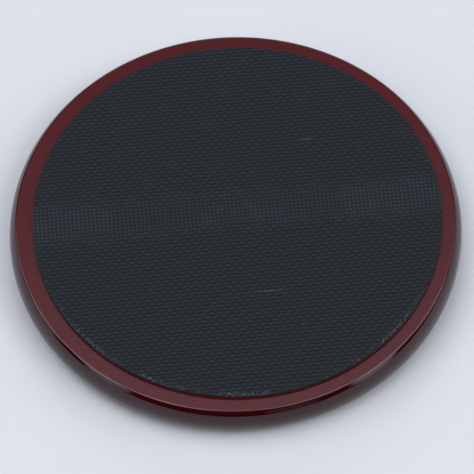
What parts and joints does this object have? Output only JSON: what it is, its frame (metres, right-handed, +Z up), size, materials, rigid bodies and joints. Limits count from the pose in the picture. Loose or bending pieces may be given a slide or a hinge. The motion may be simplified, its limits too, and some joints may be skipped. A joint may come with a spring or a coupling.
{
  "type": "practice pad",
  "caption": "Round drum practice pad: black woven-texture rubber sheet on a gloss burgundy board with an oval rim and a non-slip rubber base.",
  "frame": {"origin": "on the surface that the pad stands on, under the board's centre", "axes": "+Z up, square to the playing surface; -Y towards the player; +X to the player's right"},
  "size_m": [0.254, 0.2538, 0.0256],
  "materials": {
    "lacquered_board": "burgundy stain under a clear high-gloss lacquer",
    "playing_rubber": "matt black gum rubber with a plain-weave cloth imprint",
    "adhesive": "dried contact adhesive",
    "mat_rubber": "dark grey ribbed non-slip rubber",
    "insert_brass": "turned brass"
  },
  "bodies": {
    "root": {"base_board": "lacquered_board", "playing_surface": "playing_rubber", "surface_adhesive": "adhesive", "non_slip_mat": "mat_rubber", "mat_adhesive": "adhesive", "stand_insert": "insert_brass"}
  },
  "joints": []
}
